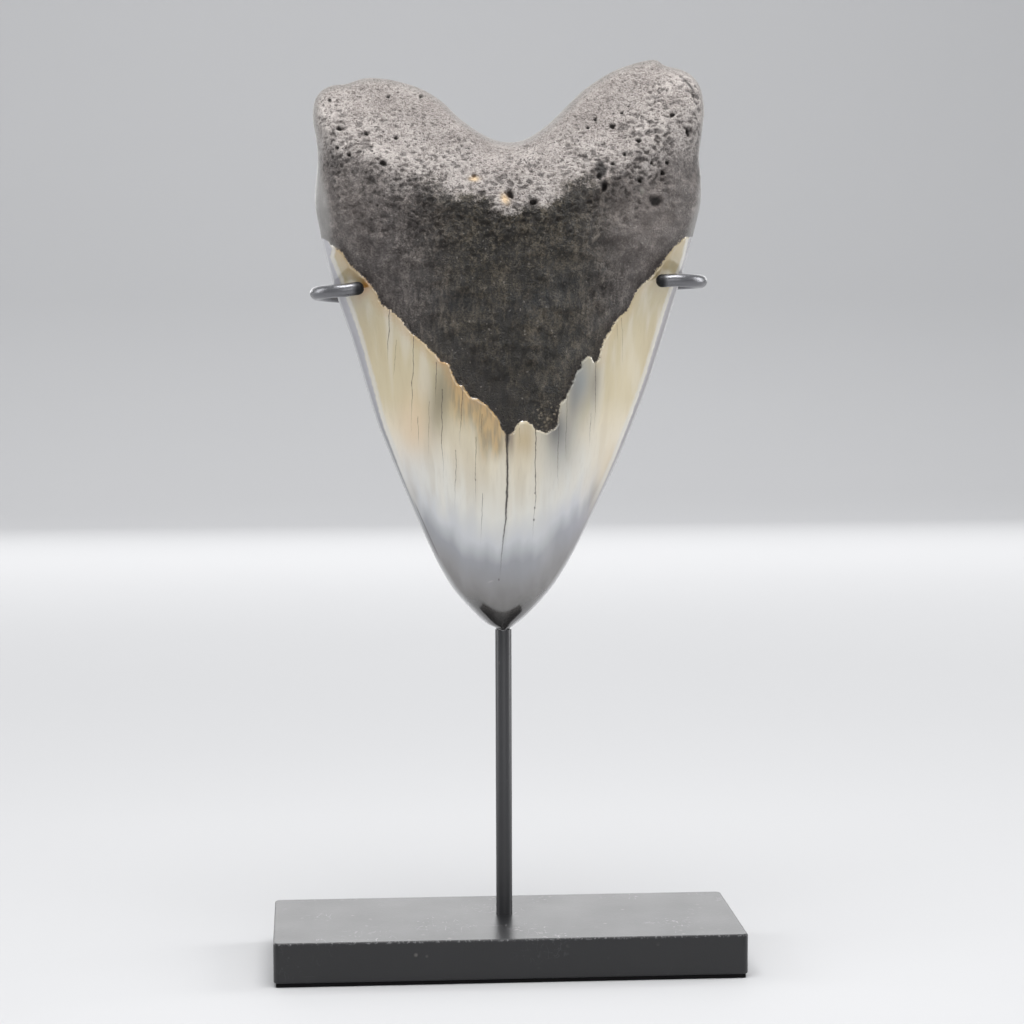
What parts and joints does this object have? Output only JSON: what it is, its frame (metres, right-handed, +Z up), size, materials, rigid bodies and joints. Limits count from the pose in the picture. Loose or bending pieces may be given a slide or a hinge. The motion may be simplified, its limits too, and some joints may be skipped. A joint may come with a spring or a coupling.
{
  "type": "fossil shark tooth on a display stand",
  "caption": "Large triangular fossil shark tooth with a lobed root, held tip down by hooked arms and a slim post on a flat rectangular base.",
  "frame": {"origin": "centre of the pad's underside, on the surface that the stand rests on", "axes": "+Z up, -Y towards the side that the tooth shows (the hooks' ends and the row of vein holes), +X to the right as seen from that side"},
  "size_m": [0.12, 0.05, 0.2326],
  "materials": {
    "tooth": "polished enamel crown in cream and blue-grey below a rough matt grey-brown root",
    "stand": "satin black powder coat on steel",
    "pad": "matt black felt"
  },
  "bodies": {
    "root": {"tooth": "tooth", "base": "stand", "base_pad": "pad", "post": "stand", "back_rod": "stand", "arm_left": "stand", "arm_right": "stand"}
  },
  "joints": []
}
